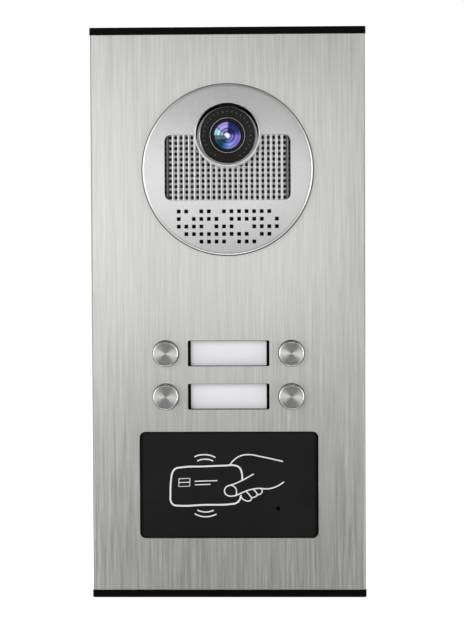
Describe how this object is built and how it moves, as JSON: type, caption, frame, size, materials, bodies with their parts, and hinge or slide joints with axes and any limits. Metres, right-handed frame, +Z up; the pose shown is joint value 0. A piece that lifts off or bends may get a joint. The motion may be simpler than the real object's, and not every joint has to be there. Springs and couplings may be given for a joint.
{
  "type": "door intercom panel",
  "caption": "Surface-mounted outdoor door station: brushed metal housing, round camera and speaker bezel, call buttons, name windows and a card reader.",
  "frame": {"origin": "middle of the panel's width and height on the wall plane, on the back face of the wall bracket", "axes": "+X to the right seen from the front, +Y into the wall (the front faces -Y), +Z up"},
  "size_m": [0.14, 0.051, 0.29],
  "materials": {
    "bezel_paint": "satin silver paint",
    "black_screw": "black, satin",
    "button_steel": "turned, circular brushing",
    "cap_plastic": "black, satin",
    "card_paper": "matt white",
    "circuit_board": "green solder mask",
    "clear_plastic": "clear",
    "cone_paper": "black, matt",
    "copper_track": "bare copper",
    "cover_plastic": "dark grey moulding",
    "grille_metal": "satin silver paint",
    "housing_metal": "satin, brushed lengthwise",
    "inner_plastic": "black moulding",
    "led_clear": "clear",
    "lens_glass": "coated",
    "lens_plastic": "black, fine matt",
    "magnet_metal": "dark plated",
    "reader_plastic": "black, satin gloss",
    "relay_blue": "blue moulding",
    "soft_rubber": "matt",
    "spring_steel": "bright wire",
    "terminal_green": "green moulding",
    "trim_steel": "bright",
    "zinc_steel": "zinc plated"
  },
  "bodies": {
    "housing": {"antenna_board": "circuit_board", "antenna_coil": "copper_track", "bezel_retainer": "inner_plastic", "bezel_screw_1": "zinc_steel", "bezel_screw_2": "zinc_steel", "bezel_screw_3": "zinc_steel", "bezel_screw_4": "zinc_steel", "bezel_seal": "soft_rubber", "board_screw_1": "zinc_steel", "board_screw_2": "zinc_steel", "bottom_end_cap": "cap_plastic", "button_board": "circuit_board", "button_carrier": "inner_plastic", "button_spring_1": "spring_steel", "button_spring_2": "spring_steel", "button_spring_3": "spring_steel", "button_spring_4": "spring_steel", "button_switch_1": "inner_plastic", "button_switch_2": "inner_plastic", "button_switch_3": "inner_plastic", "button_switch_4": "inner_plastic", "camera_bezel": "bezel_paint", "camera_board": "circuit_board", "camera_housing": "inner_plastic", "cap_screw_1": "black_screw", "cap_screw_2": "black_screw", "cap_screw_3": "black_screw", "cap_screw_4": "black_screw", "door_relay": "relay_blue", "front_lens": "lens_glass", "front_panel": "housing_metal", "image_sensor": "magnet_metal", "label_tray_lower": "inner_plastic", "label_tray_upper": "inner_plastic", "label_window_lower": "clear_plastic", "label_window_upper": "clear_plastic", "led_board": "circuit_board", "led_grille": "grille_metal", "lens_barrel": "lens_plastic", "lens_ring": "lens_plastic", "lens_trim_ring": "trim_steel", "lock_screw": "zinc_steel", "main_board": "circuit_board", "microphone": "trim_steel", "microphone_boot": "soft_rubber", "name_card_lower": "card_paper", "name_card_upper": "card_paper", "reader_window": "reader_plastic", "rear_cover": "cover_plastic", "speaker_cone": "cone_paper", "speaker_frame": "magnet_metal", "speaker_gasket": "soft_rubber", "status_led": "led_clear", "terminal_block": "terminal_green", "top_end_cap": "cap_plastic", "wall_bracket": "zinc_steel"},
    "button_1": {"button_cap_1": "button_steel"},
    "button_2": {"button_cap_2": "button_steel"},
    "button_3": {"button_cap_3": "button_steel"},
    "button_4": {"button_cap_4": "button_steel"}
  },
  "joints": [
    {"name": "button_1_press", "type": "slide", "parent": "housing", "child": "button_1", "axis": [0, 1, 0], "range_m": [0, 0.0012], "stiffness_N_per_m": 1200, "springref_m": -0.0006, "deforming": ["button_spring_1"]},
    {"name": "button_2_press", "type": "slide", "parent": "housing", "child": "button_2", "axis": [0, 1, 0], "range_m": [0, 0.0012], "stiffness_N_per_m": 1200, "springref_m": -0.0006, "deforming": ["button_spring_2"]},
    {"name": "button_3_press", "type": "slide", "parent": "housing", "child": "button_3", "axis": [0, 1, 0], "range_m": [0, 0.0012], "stiffness_N_per_m": 1200, "springref_m": -0.0006, "deforming": ["button_spring_3"]},
    {"name": "button_4_press", "type": "slide", "parent": "housing", "child": "button_4", "axis": [0, 1, 0], "range_m": [0, 0.0012], "stiffness_N_per_m": 1200, "springref_m": -0.0006, "deforming": ["button_spring_4"]}
  ]
}
